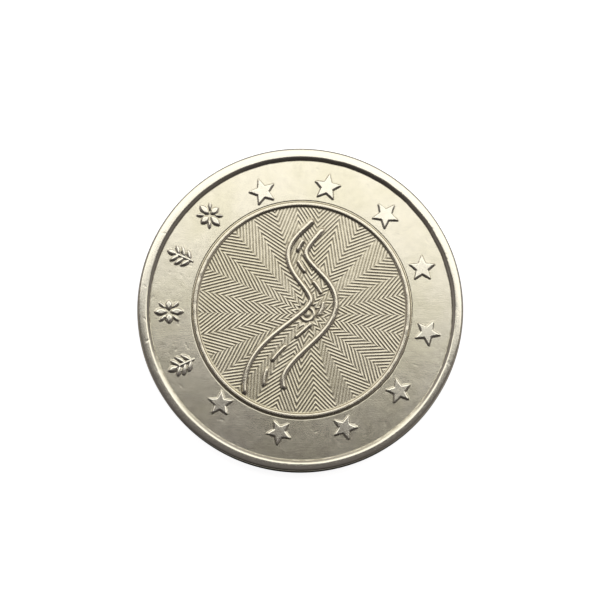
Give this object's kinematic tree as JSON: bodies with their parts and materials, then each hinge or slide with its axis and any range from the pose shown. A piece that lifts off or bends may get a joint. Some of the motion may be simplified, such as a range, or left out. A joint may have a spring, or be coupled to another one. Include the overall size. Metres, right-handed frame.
{
  "type": "transit token",
  "caption": "Round two-piece metal token: a core disc pressed into an outer ring, with a raised rim, stars, small ornaments and a winding-road device in low relief.",
  "frame": {"origin": "centre of the circle the token rests on, under the reverse rim", "axes": "+Z out of the obverse, +Y to the top of the obverse design, +X to its right"},
  "size_m": [0.025, 0.025, 0.0019],
  "materials": {
    "ring_metal": "nickel-plated steel, struck and satin, lightly handled, brighter on the rim",
    "core_metal": "nickel silver, struck with a fine zigzag ground, slightly warmer than the ring, darker in its grooves"
  },
  "bodies": {
    "root": {"outer_ring": "ring_metal", "core": "core_metal"}
  },
  "joints": []
}
